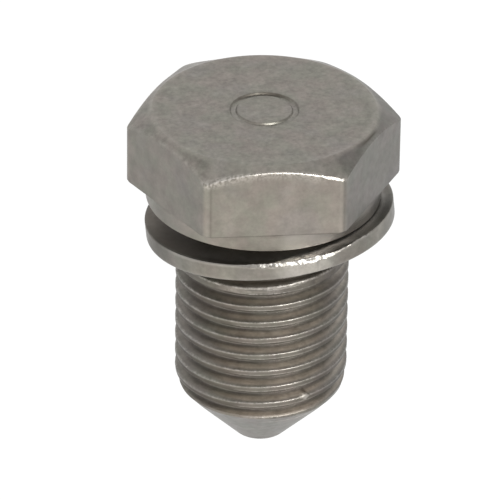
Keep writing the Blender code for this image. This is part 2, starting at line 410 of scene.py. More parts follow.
def between(start, end, count):
    """Rows on a straight stretch cut into that many, with one more close to each end."""
    if count == 1:
        return []
    near = 0.12 / count
    shares = [near, *np.linspace(1 / count, 1 - 1 / count, count - 1), 1 - near]
    return [tuple(np.array(start) * (1 - share) + np.array(end) * share) for share in shares]


def cut_up(corners, counts):
    """Rows along a rounded section whose straight stretches are each cut into that many."""
    rows = rounded(corners)
    section = [rows[0]]
    for stretch, count in enumerate(counts):
        first = stretch * (ARC_STEPS + 1)
        section += between(rows[first], rows[first + 1], count)
        section += rows[first + 1:first + 2 + ARC_STEPS]
    return section


def side_top(reach):
    """Height of the sharp edge between the top chamfer and a side that far from the axis."""
    return HEAD_HEIGHT - (reach - TOP_FACE_DIAMETER / 2) * math.tan(math.radians(TOP_CHAMFER_DEG))


def side_bottom(reach):
    """Height of the edge between the lower chamfer and a side that far from the axis."""
    slope = math.tan(math.radians(LOWER_CHAMFER_DEG))
    start = HEX_CORNER_REACH - LOWER_CHAMFER / slope
    return COLLAR_HEIGHT + max(LEAST_FOOT_HEIGHT, (reach - start) * slope)


def head_section(reach, head_bevel):
    """Section of head, collar and neck where the hexagon reaches that far from the axis."""
    edge = side_top(reach)
    chamfer = math.radians(TOP_CHAMFER_DEG)
    bevel = math.radians(HEAD_BEVEL_DEG)
    up_chamfer = head_bevel * math.cos(bevel) / math.sin(bevel - chamfer)
    low_edge = side_bottom(reach)
    under = (low_edge - COLLAR_HEIGHT) / math.tan(math.radians(LOWER_CHAMFER_DEG))
    ring_low = HEAD_HEIGHT - RING_DEPTH
    collar = COLLAR_DIAMETER / 2
    neck = NECK_DIAMETER / 2
    return [
        (INNER_RING, HEAD_HEIGHT, 0.0),
        ((RING_DIAMETER - RING_WIDTH) / 2, HEAD_HEIGHT, RING_EDGE_RADIUS),
        ((RING_DIAMETER - RING_BOTTOM_WIDTH) / 2, ring_low, RING_FOOT_RADIUS),
        ((RING_DIAMETER + RING_BOTTOM_WIDTH) / 2, ring_low, RING_FOOT_RADIUS),
        ((RING_DIAMETER + RING_WIDTH) / 2, HEAD_HEIGHT, RING_EDGE_RADIUS),
        (TOP_FACE_DIAMETER / 2, HEAD_HEIGHT, TOP_EDGE_RADIUS),
        (reach - up_chamfer * math.cos(chamfer), edge + up_chamfer * math.sin(chamfer), SIDE_EDGE_RADIUS),
        (reach, edge - head_bevel, SIDE_EDGE_RADIUS),
        (reach, low_edge, SIDE_EDGE_RADIUS),
        (reach - under, COLLAR_HEIGHT, SIDE_FOOT_RADIUS),
        (collar, COLLAR_HEIGHT, COLLAR_TOP_RADIUS),
        (collar, -COLLAR_EXTRA, COLLAR_EDGE_RADIUS),
        (neck, -COLLAR_EXTRA, NECK_FILLET),
        (neck, -HEAD_ROWS_END, 0.0),
    ]


def head_column(angle):
    """The head's section in one direction; all directions have the same number of rows."""
    head_bevel = HEAD_BEVEL + HEAD_BEVEL_EXTRA * in_stretch(angle, *DEEPER_BEVEL)
    return cut_up(head_section(hexagon_radius(angle), head_bevel), HEAD_STRETCHES)


def thread_rows():
    """Distances below a crest's middle down to the root's middle, and how deep the thread is there."""
    rows = [
        (0.0, LIP_HEIGHT),
        (0.40 * HALF_CREST, 0.75 * LIP_HEIGHT),
        (0.70 * HALF_CREST, 0.12 * LIP_HEIGHT),
        (0.88 * HALF_CREST, 0.0),
        (1.02 * HALF_CREST, 0.20 * LIP_HEIGHT),
        (1.18 * HALF_CREST, 0.07 * MM),
    ]
    for share in (0.16, 0.32, 0.50, 0.68, 0.84):
        depth = THREAD_DEPTH * share
        rows.append((HALF_CREST + depth * FLANK_SLOPE, depth))
    rows.append((THREAD_PITCH / 2 - ROOT_FLAT * 0.42, THREAD_DEPTH * 0.965))
    rows.append((THREAD_PITCH / 2, THREAD_DEPTH))
    return rows


def blank_radius(z):
    """Radius of neck, run-in, thread blank, its slight taper and the tip cone at that height."""
    neck = NECK_DIAMETER / 2
    major = THREAD_DIAMETER / 2
    if z > -NECK_LENGTH:
        return neck
    run_in = neck + (-NECK_LENGTH - z) * math.tan(math.radians(RUN_IN_DEG))
    taper = major - max(0.0, LEAD_IN_LENGTH - THREADED_LENGTH - z) * LEAD_IN_SLOPE
    cone = major - (-THREADED_LENGTH - z) * TIP_SLOPE
    return min(run_in, taper, cone)


# Meshes

class Skin:
    """Points, faces and marks of a mesh while it is being made: wear, painted light and painted shade.

    The marks say how much a point is a broken bright edge, worn and partly a painted highlight, painted
    sheen, painted shade or a dark mark, a thread's flank with painted light, under a darker, cooler painted
    shade tint, or mottled.
    """

    def __init__(self):
        self.points = []
        self.faces = []
        self.marks = {mark: [] for mark in ("edge", "soft", "groove", "flank", "dull", "mottle")}

    def add(self, point, **marks):
        self.points.append(point)
        for mark, values in self.marks.items():
            values.append(marks.get(mark, 0.0))
        return len(self.points) - 1

    def join_rings(self, first, second, count):
        """Quads between two rings of points given by their first index."""
        for j in range(count):
            k = (j + 1) % count
            self.faces.append((first + j, first + k, second + k, second + j))

    def finished(self, name, place):
        """Mesh object laid in place; its upright coordinates stay in the attribute own_place, in mm."""
        mesh = bpy.data.meshes.new(name)
        mesh.from_pydata(self.points, [], self.faces)
        for mark, values in self.marks.items():
            attribute = mesh.attributes.new(mark, "FLOAT", "POINT")
            attribute.data.foreach_set("value", np.array(values, np.float32))
        own = np.array(self.points, np.float32) / MM
        mesh.attributes.new("own_place", "FLOAT_VECTOR", "POINT").data.foreach_set("vector", own.ravel())
        mesh.transform(place)
        shape = bmesh.new()
        shape.from_mesh(mesh)
        bmesh.ops.recalc_face_normals(shape, faces=shape.faces[:])
        shape.to_mesh(mesh)
        shape.free()
        mesh.shade_smooth()
        obj = bpy.data.objects.new(name, mesh)
        bpy.context.collection.objects.link(obj)
        return obj


def on_hexagon_side(angle, r, z):
    reach = hexagon_radius(angle)
    return side_bottom(reach) < z < side_top(reach) and r > TOP_FACE_DIAMETER / 2


def chamfer_edge(angle, point, top_edge):
    """Broken bright edge between top chamfer and sides, worn and partly a painted highlight: strong at the
    front, where the light falls, pitted on the left.
    """
    pits = smooth_step(uneven(point, 1.0, 0.9, 60.0), 0.18, 0.4) * on_left(angle)
    close = 1 - smooth_step(top_edge, 0.1 * MM, 0.18 * MM)
    return close * (0.08 + 0.25 * pits + 0.92 * on_front(angle))


def head_sheen(angle, r, z, point, top_edge):
    """Painted sheen, a lighter colour standing in for light: on the top face's rim, the hexagon's corners,
    the chamfers and the collar.
    """
    if z < COLLAR_HEIGHT:
        soft = max(0.9 * in_stretch(angle, *COLLAR_SHEEN), 0.4 * in_stretch(angle, *COLLAR_LEFT_SHEEN))
        soft += 1.2 * in_stretch(angle, *COLLAR_EDGE_SHEEN) * smooth_step(-z, -0.7 * MM, 0.0)
        return max(soft, in_stretch(angle, *COLLAR_RIGHT_SHEEN))
    rim = math.hypot(r - TOP_FACE_DIAMETER / 2, z - HEAD_HEIGHT)
    soft = 0.36 * (1 - smooth_step(rim, 0.15 * MM, 0.35 * MM)) * smooth_step(degrees_off(angle, -95), 14, 34)
    at_corner = degrees_off(6 * angle, 0) < 6 * math.degrees(corner_half_angle())
    if at_corner and on_hexagon_side(angle, r, z):
        soft = 0.25
    if z > side_top(hexagon_radius(angle)) - 0.05 * MM and r > TOP_FACE_DIAMETER / 2:
        speckle = max(0.0, 0.9 + uneven(point, 1.8, 0.5, 65.0))
        near_left = on_left(angle) * (1 - smooth_step(top_edge, 0.1 * MM, 0.45 * MM))
        soft = max(soft, 0.5 * on_front(angle), 0.55 * speckle * near_left)
    return soft


def flat_outline(angle, r, z, point):
    """Painted shade: a thin dark line along the foot of the flats, under their ledge, and up the front
    flat's left side.
    """
    line = 0.0
    if r > COLLAR_DIAMETER / 2 - 0.05 * MM:
        line = bump(z - COLLAR_HEIGHT, (0.06 + 0.04 * in_stretch(angle, *THICKER_LINE)) * MM)
    line *= 0.75 + uneven(point, 0.6, 0.7, 70.0)
    if on_hexagon_side(angle, r, z) and angle_is_past(angle, FRONT_LEFT_CORNER_DEG):
        from_corner = degrees_off(angle, FRONT_LEFT_CORNER_DEG) - math.degrees(corner_half_angle())
        line = max(line, 0.35 * bump(from_corner - 0.4, 0.5))
    return line


def ring_shade(angle, r):
    """Painted shade on the edges of the ring pressed into the top: at its sides, and on its wall at the
    back.
    """
    inner = r < RING_DIAMETER / 2
    at_sides = smooth_step(degrees_off(angle, BACK_DEG), 30, 70)
    at_sides *= smooth_step(degrees_off(angle, -95), 20, 50)
    shade = bump(abs(r - RING_DIAMETER / 2) - RING_WIDTH / 2, 0.06 * MM)
    shade *= 0.7 * at_sides + (1 - at_sides) * (0.25 if inner or math.sin(angle) < 0 else 1.2)
    if math.sin(angle) > 0:
        wall = bump(r - RING_DIAMETER / 2 - 0.22 * MM, 0.1 * MM)
        shade = max(shade, 1.6 * (1 - at_sides) * wall)
    return shade


def head_marks(angle, r, z):
    """Marks of wear, painted sheen and painted shade of one point of head, collar or neck."""
    reach = hexagon_radius(angle)
    point = (r * math.cos(angle), r * math.sin(angle), z)
    top_edge = math.hypot(r - reach, z - side_top(reach))
    on_top = z > side_top(reach)
    outside = smooth_step(r, TOP_FACE_DIAMETER / 2, TOP_FACE_DIAMETER / 2 + 0.4 * MM)
    ring = 0.0
    scrape = 0.0
    if on_top:
        ring = ring_shade(angle, r)
        scrape = in_stretch(angle, *SCRAPE) * bump(r - SCRAPE_REACH, 0.11 * MM)
    # Painted shade under the collar, darker in one stretch.
    under = 0.0
    if z < COLLAR_HEIGHT:
        under = 0.15 * smooth_step(COLLAR_DIAMETER / 2 - r, 0.2 * MM, 1.2 * MM)
        under = max(under, 0.12 * in_stretch(angle, *COLLAR_DARKER))
    return {
        "edge": chamfer_edge(angle, point, top_edge),
        "soft": head_sheen(angle, r, z, point, top_edge),
        # Painted shade along the foot of the flats, in the ring and under the collar, together with the
        # scrape as a dark mark.
        "groove": max(0.9 * flat_outline(angle, r, z, point), 0.5 * ring, under, 0.9 * scrape),
        # Painted shade tint: the right sides darker and cooler, the left sides a little.
        "dull": max(on_right(angle), 0.3 * on_left(angle)) * outside,
        "mottle": 1 - 0.8 * on_right(angle) * outside if on_top else 0.3 * on_right(angle),
    }


def corner_lift(angle, r, z):
    """How much higher the head's uneven corners are at that point of chamfer or side."""
    reach = hexagon_radius(angle)
    outwards = smooth_step(r, TOP_FACE_DIAMETER / 2, reach)
    upwards = smooth_step(z, 2 * COLLAR_HEIGHT, side_top(reach))
    lift = sum(height * bump(degrees_off(angle, towards_deg), 9) for towards_deg, height in HIGH_CORNERS)
    return lift * outwards * upwards


def add_head(skin, angles):
    """Top face, hexagon, collar and the neck's upper part. Returns the first index of its lowest ring."""
    count = len(angles)
    skin.add((0.0, 0.0, HEAD_HEIGHT))
    sections = [head_column(angle) for angle in angles]
    rings = len(sections[0])
    for i in range(rings):
        for angle, section in zip(angles, sections):
            r, z = section[i]
            marks = head_marks(angle, r, z)
            point = (r * math.cos(angle), r * math.sin(angle), z)
            rough = marks["edge"]
            r += rough * uneven(point, 0.022 * MM, 0.7, 3.0)
            z += rough * uneven(point, 0.03 * MM, 0.6, 11.0)
            if z > 2 * COLLAR_HEIGHT:
                z -= 0.05 * MM * max(0.0, marks["groove"] - 0.5)
                z += corner_lift(angle, r, z)
            skin.add((r * math.cos(angle), r * math.sin(angle), z), **marks)
        if i:
            skin.join_rings(1 + (i - 1) * count, 1 + i * count, count)
    skin.faces += [(0, 1 + j, 1 + (j + 1) % count) for j in range(count)]
    return 1 + (rings - 1) * count


class ThreadPoint:
    """One point of neck, thread or cone: its place on the profile, its radius, and its marks of wear,
    painted light and painted shade.
    """

    def __init__(self, angle, z, above, table):
        """above is its height over the nearest crest's middle; table holds the profile's two columns."""
        self.angle = angle
        self.z = z
        self.above = above
        self.first_turn = smooth_step(z, *FIRST_TURN)
        self.both_lips = 1 - smooth_step(degrees_off(angle, -84), 14, 34)
        self.offset, self.depth = self.profile(table)
        self.share = self.depth / THREAD_DEPTH
        self.cut = THREAD_DIAMETER / 2 - self.depth
        worn_off = sum(much * in_stretch(angle, *stretch) for *stretch, much in WORN_ENDS)
        self.blank = blank_radius(z) - worn_off * bump(z - WORN_END_HEIGHT, WORN_END_LENGTH)
        self.on_thread = smooth_step(self.blank - self.cut, -0.05 * MM, 0.05 * MM)
        along = math.radians(degrees_off(angle, BURR_DEG)) * THREAD_DIAMETER / 2
        self.burr = max(0.0, 1 - along / BURR_REACH - abs(z - BURR_HEIGHT) / BURR_RISE)

        self.sparkle = 0.75 + uneven(self.at(self.cut), 1.1, 0.38, 80.0)
        self.upper = 0.0
        self.lower = 0.0
        if above > 0:
            width = (0.055 + 0.035 * self.first_turn) * MM
            self.upper = self.sparkle * bump(self.offset - 0.95 * HALF_CREST, width)
        if above < 0:
            self.lower = self.sparkle * bump(self.offset - 0.88 * HALF_CREST, 0.04 * MM)
        self.middle = 1 - smooth_step(self.offset, 0.35 * HALF_CREST, 0.75 * HALF_CREST)
        self.root = smooth_step(self.share, 0.6, 0.88) - 0.4 * smooth_step(self.share, 0.95, 1.0)
        self.first_face = self.first_turn * self.middle
        self.first_face *= 1 - smooth_step(degrees_off(angle, -102), 12, 27)

        self.front = 1 - smooth_step(degrees_off(angle, FRONT_DEG), 18, 48)
        self.lit = 1 - smooth_step(degrees_off(angle, -50), 50, 90)
        self.far_left = smooth_step(degrees_off(angle, -50), 76, 108)
        self.calm = 1 - smooth_step(degrees_off(angle, -10), 25, 52)

    def at(self, r):
        return (r * math.cos(self.angle), r * math.sin(self.angle), self.z)

    def profile(self, table):
        """Distance from the middle of the widened crest, and how deep the thread is there."""
        to_right = smooth_step(degrees_off(self.angle, -10), 50, 80)
        first_extra = FIRST_CREST_EXTRA + FIRST_CREST_RIGHT_EXTRA * (1 - to_right)
        widen = CREST_EXTRA + first_extra * self.first_turn
        offset = max(0.0, self.above - widen) if self.above > 0 else -self.above
        depth = float(np.interp(offset, *table))
        worn_edge = self.first_turn * in_stretch(self.angle, *FIRST_EDGE_WORN)
        worn_edge *= smooth_step(self.above, widen - 0.06 * MM, widen + 0.06 * MM)
        depth += 0.08 * MM * worn_edge * (1 - smooth_step(depth, 0.0, 0.3 * MM))
        if self.above < 0:
            lowered = smooth_step(offset, 0.3 * CREST_FLAT, 0.45 * CREST_FLAT)
            lowered *= 1 - smooth_step(depth, 0.0, 0.4 * MM)
            depth += (1 - self.both_lips) * LIP_HEIGHT * lowered
        return offset, depth

    def radius(self):
        """Distance from the axis, with uneven lips, an uneven first crest and the burr."""
        r = soft_min(self.cut, self.blank, 0.07 * MM)
        lips = self.on_thread * max(self.upper, 0.4 * self.lower)
        r += lips * uneven(self.at(r), 0.028 * MM, 0.42, 5.0)
        r += self.on_thread * self.first_turn * self.middle * uneven(self.at(r), 0.07 * MM, 0.4, 15.0)
        r += uneven(self.at(r), 0.008 * MM, 1.6, 8.0)
        return r + (THREAD_DIAMETER / 2 - 0.01 * MM - r) * smooth_step(self.burr, 0.0, 0.6)

    def edge_mark(self):
        """Broken bright crest lips, worn and partly a painted highlight that is stronger towards the front,
        specks on the first crest, and the cone's upper corner.
        """
        lips = max((0.75 + 0.35 * self.front - 0.35 * self.calm) * self.upper, self.both_lips * self.lower)
        lips *= 1 + (0.3 + 0.5 * in_stretch(self.angle, *FIRST_LIPS_BROKEN)) * self.first_turn
        off_burr = 1 - smooth_step(self.burr, 0.0, 0.25)
        edge = self.on_thread * off_burr * max(lips, (0.05 + 0.15 * self.sparkle) * self.first_face)
        if self.z < -THREADED_LENGTH:
            at_front = 1 - smooth_step(degrees_off(self.angle, -82), 16, 30)
            edge = max(edge, self.sparkle * bump(self.blank - self.cut, 0.12 * MM) * at_front)
        return edge

    def sheen_mark(self):
        """Painted sheen on the burr, and a painted highlight along the first crest's upper lip."""
        shining = self.first_turn * self.upper * in_stretch(self.angle, *FIRST_LIPS_HIGHLIGHT)
        return max(2.2 * smooth_step(self.burr, 0.2, 0.5), 2.6 * shining)

    def flank_light_mark(self):
        """Painted light on the lit upper flanks, stronger further down and towards the front."""
        if self.above <= 0:
            return 0.0
        further_down = smooth_step(-self.z, 6 * MM, 10 * MM)
        flank = smooth_step(self.share, 0.1, 0.5) * (1 - self.root)
        flank *= (0.25 + 0.75 * self.lit) * (0.6 + 0.4 * further_down)
        return self.on_thread * flank * (1 + 0.4 * self.front - 0.35 * self.calm * self.calm)

    def shaded_face(self):
        """How much painted shade darkens the crests' flat faces; the first, wider crest has its own pattern.
        """
        face = 1 - smooth_step(self.share, 0.03, 0.12)
        one_lip = 1 - self.both_lips
        lower_half = 1 - smooth_step(self.above, -0.2 * HALF_CREST, 0.5 * HALF_CREST)
        plain = max((0.75 - 0.25 * self.both_lips) * self.middle, one_lip * lower_half)
        plain *= face * (1 - self.first_turn)
        first = max(0.6 * (1 - 0.7 * self.first_face), 1.1 * (lower_half - self.middle) * one_lip)
        first *= face * self.first_turn
        return max(plain * (1 - 0.4 * self.calm), first * (1 - self.upper))

    def painted_shade_mark(self):
        """Painted shade: dark roots and undersides, darker crest faces, the burr's outline, and the neck
        above the thread.
        """
        under_crest = smooth_step(self.share, 0.05, 0.2) if self.above < 0 else 0.0
        foot = 0.0
        if self.above > 0:
            foot = 0.25 * self.lit * (1 - smooth_step(self.share, 0.12, 0.4))
            foot *= smooth_step(self.share, 0.04, 0.1)
        root_strength = 0.4 + 0.35 * in_stretch(self.angle, *ROOTS_DARKER)
        root_strength += 0.05 * (1 - self.lit) - 0.25 * self.calm
        shaded = 0.3 * self.far_left * smooth_step(self.share, 0.04, 0.2)
        groove = max(self.root * root_strength, 0.35 * under_crest, self.shaded_face(), foot, shaded)
        groove *= self.on_thread * (1 - smooth_step(self.burr, 0.0, 0.3))
        burr_outline = 0.6 * smooth_step(self.burr, 0.0, 0.1) * (1 - smooth_step(self.burr, 0.15, 0.35))
        above_thread = 0.55 * smooth_step(self.z, -4.85 * MM, -4.6 * MM)
        return max(groove, burr_outline, above_thread)

    def shade_tint_mark(self):
        """Painted shade tint, darker and cooler: the right side, the far left side, and the cone."""
        right = (1.1 * self.calm - 0.2) * on_right(self.angle)
        on_cone = smooth_step(self.cut - self.blank, 0.0, 0.3 * MM)
        return max(right, 0.95 * self.far_left, 0.75 * on_cone)

    def add_to(self, skin):
        return skin.add(
            self.at(self.radius()),
            edge=self.edge_mark(),
            soft=self.sheen_mark(),
            groove=self.painted_shade_mark(),
            flank=self.flank_light_mark(),
            dull=self.shade_tint_mark(),
            mottle=0.6,
        )


def add_thread(skin, angles, upper_ring):
    """Helical grid from the neck to the cone. Returns its last row, closed by the first point's turn."""
    count = len(angles)
    rows = thread_rows()
    table = tuple(zip(*rows))
    below = [row[0] for row in rows] + [THREAD_PITCH - row[0] for row in rows[-2:0:-1]]
    per_pitch = len(below)
    first_crest = -CREST_AT_FRONT + THREAD_PITCH * (angles[0] + math.pi / 2) / math.tau + THREAD_PITCH
    fade_out = THREADED_LENGTH + THREAD_DEPTH / TIP_SLOPE
    last_row = math.ceil((first_crest + fade_out + THREAD_PITCH) / THREAD_PITCH) * per_pitch
    index = {}

    def place_point(j, i):
        down = below[i % per_pitch]
        above = -down if down <= THREAD_PITCH / 2 else THREAD_PITCH - down
        rise = THREAD_PITCH * (angles[j] - angles[0]) / math.tau
        z = first_crest + rise - THREAD_PITCH * (i // per_pitch) - down
        index[j, i] = ThreadPoint(angles[j], z, above, table).add_to(skin)

    for i in range(-per_pitch, 0):
        place_point(0, i)
    for i in range(last_row + 1):
        for j in range(count):
            place_point(j, i)
        index[count, i] = index[0, i - per_pitch]
    for i in range(last_row):
        for j in range(count):
            skin.faces.append((index[j, i], index[j + 1, i], index[j + 1, i + 1], index[j, i + 1]))

    seam = [index[0, i] for i in range(-per_pitch, 1)]
    skin.faces.append((upper_ring, *seam, index[1, 0], upper_ring + 1))
    for j in range(1, count):
        skin.faces.append((upper_ring + j, index[j, 0], index[j + 1, 0], upper_ring + (j + 1) % count))
    last = [index[j, last_row] for j in range(count)]
    seam = [index[0, i] for i in range(last_row - per_pitch, last_row + 1)]
    return last, seam


def add_tip(skin, angles, last, seam):
    """Lower part of the cone, its rounded edge and flat end."""
    count = len(angles)
    cone_top = -THREADED_LENGTH - TIP_ROWS_START
    corners = [
        (blank_radius(cone_top), cone_top, 0.0),
        (TIP_DIAMETER / 2, -SHANK_LENGTH, TIP_EDGE_RADIUS),
        (INNER_RING, -SHANK_LENGTH, 0.0),
    ]
    rows = cut_up(corners, TIP_STRETCHES)
    lower_ring = len(skin.points)
    for r, z in rows:
        line = 0.45 * bump(z + SHANK_LENGTH - TIP_LINE_HEIGHT, 0.05 * MM)
        for angle in angles:
            # The cone gets a darker, cooler painted shade tint.
            skin.add((r * math.cos(angle), r * math.sin(angle), z), groove=line, dull=0.75)
    for i in range(len(rows) - 1):
        skin.join_rings(lower_ring + i * count, lower_ring + (i + 1) * count, count)
    end = skin.add((0.0, 0.0, -SHANK_LENGTH))
    last_ring = lower_ring + (len(rows) - 1) * count
    skin.faces += [(last_ring + j, end, last_ring + (j + 1) % count) for j in range(count)]
    for j in range(count - 1):
        skin.faces.append((last[j], last[j + 1], lower_ring + j + 1, lower_ring + j))
    skin.faces.append((last[-1], *seam, lower_ring, lower_ring + count - 1))


def make_plug(place):
    angles = column_angles()
    skin = Skin()
    upper_ring = add_head(skin, angles)
    last, seam = add_thread(skin, angles, upper_ring)
    add_tip(skin, angles, last, seam)
    return skin.finished("drain_plug", place)


class WasherColumn:
    """The washer's section in one direction, with its battered rim, and its marks of wear, painted light and
    painted shade.
    """

    def __init__(self, angle):
        self.angle = angle
        self.battered = in_stretch(angle, *BATTERED)
        wider = in_stretch(angle, *WIDER_BEVEL)
        rounded_down = 0.01 + 0.99 * in_stretch(angle, *ROUNDED_DOWN)
        rough_bevel = BATTERED_BEVEL + uneven(self.at(WASHER_REACH, 0.0), 0.12 * MM, 1.1, 50.0)
        self.bevel = PLAIN_BEVEL + self.battered * (rough_bevel - PLAIN_BEVEL) + WIDER_BEVEL_EXTRA * wider
        self.drop = ROUNDED_DROP * rounded_down - WIDER_BEVEL_RISE * wider

        bore = WASHER_BORE / 2
        middle = (bore + WASHER_REACH) / 2
        bevel_start = WASHER_REACH - 0.62 * self.bevel
        bevel_top = WASHER_HALF - self.drop
        corners = [
            (middle, WASHER_HALF, 0.0),
            (bevel_start - ROUNDED_REACH * rounded_down, WASHER_HALF, 2.0 * MM),
            (bevel_start, bevel_top, 0.06 * MM),
            (WASHER_REACH, bevel_top - self.bevel, 0.06 * MM),
            (WASHER_REACH, -WASHER_HALF, WASHER_EDGE_RADIUS),
            (bore, -WASHER_HALF, WASHER_EDGE_RADIUS),
            (bore, WASHER_HALF, WASHER_EDGE_RADIUS),
            (middle, WASHER_HALF, 0.0),
        ]
        self.section = cut_up(corners, WASHER_STRETCHES)[:-1]

    def at(self, r, z):
        return (r * math.cos(self.angle), r * math.sin(self.angle), z)

    def rim_sheen(self, r, z):
        """Painted sheen on the outside of the rim, below the battered edge."""
        sheen = in_stretch(self.angle, *RIM_SHEEN)
        sheen *= smooth_step(r, WASHER_REACH - 0.1 * MM, WASHER_REACH - 0.02 * MM)
        return sheen * (1 - smooth_step(z, 0.2 * WASHER_HALF, 0.6 * WASHER_HALF))

    def top_sheen(self, inwards, z):
        """Band of painted sheen inside the battered edge, narrower towards its left end."""
        width = TOP_SHEEN_WIDTH * (0.3 + 0.7 * smooth_step(math.degrees(self.angle), -92, -78))
        sheen = in_stretch(self.angle, *TOP_SHEEN) * (1 - smooth_step(inwards, width, 1.25 * width))
        sheen *= smooth_step(inwards, 0.1 * MM, 0.25 * MM)
        return sheen * smooth_step(z, 0.3 * WASHER_HALF, 0.6 * WASHER_HALF)

    def edge_mark(self, inwards, near, rim_sheen, top_sheen):
        """Broken bright edge, worn and partly a painted highlight: the battered bevel, the rim and top
        beside it, and dots further right.
        """
        bevel = self.battered * (1 - smooth_step(near, 1.15 * self.bevel, 1.6 * self.bevel))
        dots = (1 - smooth_step(near, 0.05 * MM, 0.12 * MM)) * in_stretch(self.angle, *EDGE_DOTS)
        beside = 1 - smooth_step(inwards, 0.45 * MM, 0.65 * MM)
        beside *= top_sheen * in_stretch(self.angle, *TOP_BATTERED)
        return max(bevel, 0.4 * rim_sheen, 1.1 * dots, 0.6 * beside)

    def add_to(self, skin, row):
        """Adds one point of the section, moved by the unevenness of the battered edge."""
        r, z = self.section[row]
        near = math.hypot(r - WASHER_REACH, z - WASHER_HALF + self.drop)
        rim_sheen = self.rim_sheen(r, z)
        top_sheen = self.top_sheen(WASHER_REACH - r, z)
        edge = self.edge_mark(WASHER_REACH - r, near, rim_sheen, top_sheen)
        high = 1 - smooth_step(near, 0.08 * MM, 0.2 * MM)
        low = 1 - smooth_step(math.hypot(r - WASHER_REACH, z + WASHER_HALF), 0.1 * MM, 0.25 * MM)
        point = self.at(r, z)
        r += edge * (uneven(point, 0.05 * MM, 0.6, 21.0) + uneven(point, 0.05 * MM, 0.26, 22.0))
        z += edge * (uneven(point, 0.05 * MM, 0.6, 31.0) + uneven(point, 0.05 * MM, 0.24, 32.0))

        # Painted light and shade: lighter lines along the rim's lit edges, painted sheen on the lit top,
        # painted shade on the top away from the light and on the left rim, and a darker, cooler painted
        # shade tint on the left and in listed stretches.
        left = 1 - smooth_step(degrees_off(self.angle, LEFT_DEG), 20, 44)
        away = smooth_step(degrees_off(self.angle, -60), 50, 80)
        line = high * (1 - left) * (0.3 + 0.7 * smooth_step(degrees_off(self.angle, -10), 32, 48))
        low_line = low * (0.35 + 0.5 * in_stretch(self.angle, *LOW_EDGE_HIGHLIGHT))
        top_face = smooth_step(z, 0.8 * WASHER_HALF, WASHER_HALF)
        inwards = WASHER_REACH - r
        lit_top = top_face * smooth_step(inwards, 0.4 * MM, 0.9 * MM) * (1 - away)
        shaded_top = top_face * smooth_step(inwards, 0.1 * MM, 0.3 * MM) * away
        skin.add(
            self.at(r, z),
            edge=edge,
            soft=max(1.3 * rim_sheen, low_line, line, 1.8 * lit_top, 3.2 * top_sheen),
            groove=max(0.4 * in_stretch(self.angle, *LEFT_RIM_DARKER), 0.8 * shaded_top),
            mottle=0.4,
            dull=max(left, *(much * in_stretch(self.angle, *stretch) for *stretch, much in RIM_SHADE_TINT)),
        )


def make_washer(place):
    angles = np.linspace(-math.pi, math.pi, WASHER_STEPS, endpoint=False)
    columns = [WasherColumn(angle) for angle in angles]
    skin = Skin()
    rings = len(columns[0].section)
    for i in range(rings):
        for column in columns:
            column.add_to(skin, i)
    for i in range(rings):
        skin.join_rings(i * WASHER_STEPS, (i + 1) % rings * WASHER_STEPS, WASHER_STEPS)
    return skin.finished("sealing_washer", place)


# Finish

class Nodes:
    """Short calls for the nodes of one tree."""

    def __init__(self, tree):
        self.tree = tree

    def add(self, kind, inputs=None, **settings):
        node = self.tree.nodes.new(kind)
        for key, value in settings.items():
            setattr(node, key, value)
        for key, value in (inputs or {}).items():
            self.feed(node.inputs[key], value)
        return node

    def feed(self, socket, value):
        if isinstance(value, bpy.types.NodeSocket):
            self.tree.links.new(value, socket)
        else:
            socket.default_value = value

    def math(self, operation, a, b=0.0, clamp=False):
        return self.add("ShaderNodeMath", {0: a, 1: b}, operation=operation, use_clamp=clamp).outputs[0]

    def noise(self, place, scale, detail=3.0, roughness=0.55):
        inputs = {"Vector": place, "Scale": scale, "Detail": detail, "Roughness": roughness}
        return self.add("ShaderNodeTexNoise", inputs).outputs["Fac"]

    def range(self, value, low, high, to_low=0.0, to_high=1.0, kind="LINEAR"):
        inputs = {"Value": value, "From Min": low, "From Max": high, "To Min": to_low, "To Max": to_high}
        return self.add("ShaderNodeMapRange", inputs, interpolation_type=kind).outputs["Result"]

    def mix(self, share, a, b, blend="MIX"):
        node = self.add("ShaderNodeMix", {"Factor": share}, data_type="RGBA", blend_type=blend)
        for name, value in (("A", a), ("B", b)):
            self.feed(next(s for s in node.inputs if s.name == name and s.type == "RGBA"), value)
        return next(s for s in node.outputs if s.type == "RGBA")

    def attribute(self, name, output="Fac"):
        return self.add("ShaderNodeAttribute", attribute_name=name).outputs[output]


def new_material(name):
    material = bpy.data.materials.new(name)
    material.use_nodes = True
    return material, Nodes(material.node_tree), material.node_tree.nodes["Principled BSDF"]


